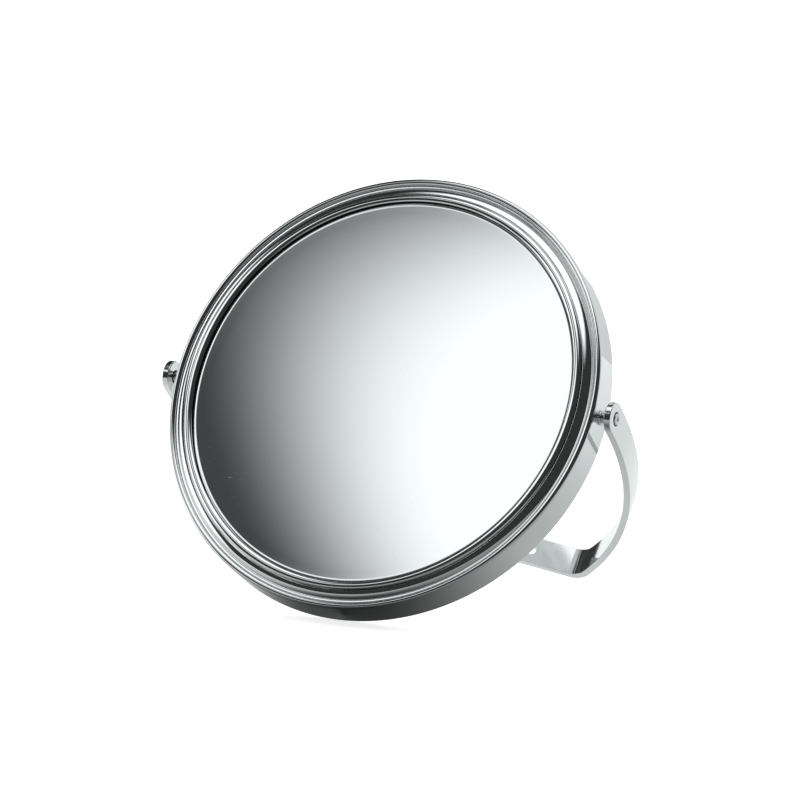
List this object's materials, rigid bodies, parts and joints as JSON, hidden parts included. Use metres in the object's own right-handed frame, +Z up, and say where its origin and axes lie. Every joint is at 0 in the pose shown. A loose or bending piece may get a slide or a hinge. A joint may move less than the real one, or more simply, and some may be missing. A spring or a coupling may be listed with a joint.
{
  "type": "shaving mirror",
  "caption": "Round double-sided shaving mirror in a polished stepped rim, pivoted in a folding flat-strip stand that props it at an angle.",
  "frame": {"origin": "on the table under the middle of the outline, mirror leaning back in use", "axes": "+X along the pivot axis to the viewer's right, -Y towards the viewer, +Z up"},
  "size_m": [0.183, 0.1294, 0.1521],
  "materials": {
    "band_chrome": "polished",
    "bezel_chrome": "polished",
    "ring_chrome": "polished",
    "stand_chrome": "polished",
    "pivot_chrome": "polished",
    "pivot_steel": "turned",
    "mirror_glass": "silvered",
    "gasket_rubber": "matte",
    "core_plastic": "moulded",
    "foam": "soft foam",
    "felt": "felt",
    "insert_brass": "turned",
    "bush_nylon": "moulded"
  },
  "bodies": {
    "stand": {"stand_bail": "stand_chrome", "left_ear_bush": "bush_nylon", "right_ear_bush": "bush_nylon"},
    "mirror": {"drum_band": "band_chrome", "front_bezel": "bezel_chrome", "rear_bezel": "bezel_chrome", "front_retaining_ring": "ring_chrome", "rear_retaining_ring": "ring_chrome", "front_mirror_glass": "mirror_glass", "rear_mirror_glass": "mirror_glass", "front_glass_gasket": "gasket_rubber", "rear_glass_gasket": "gasket_rubber", "core_ring": "core_plastic", "foam_ring": "foam", "felt_disc": "felt", "left_pivot_insert": "insert_brass", "right_pivot_insert": "insert_brass", "left_pivot_collar": "pivot_chrome", "right_pivot_collar": "pivot_chrome", "left_pivot_pin": "pivot_steel", "right_pivot_pin": "pivot_steel"}
  },
  "joints": [
    {"name": "mirror_pivot", "type": "hinge", "parent": "stand", "child": "mirror", "pos_m": [0, -0.01526, 0.07608], "axis": [1, 0, 0], "continuous": true}
  ]
}
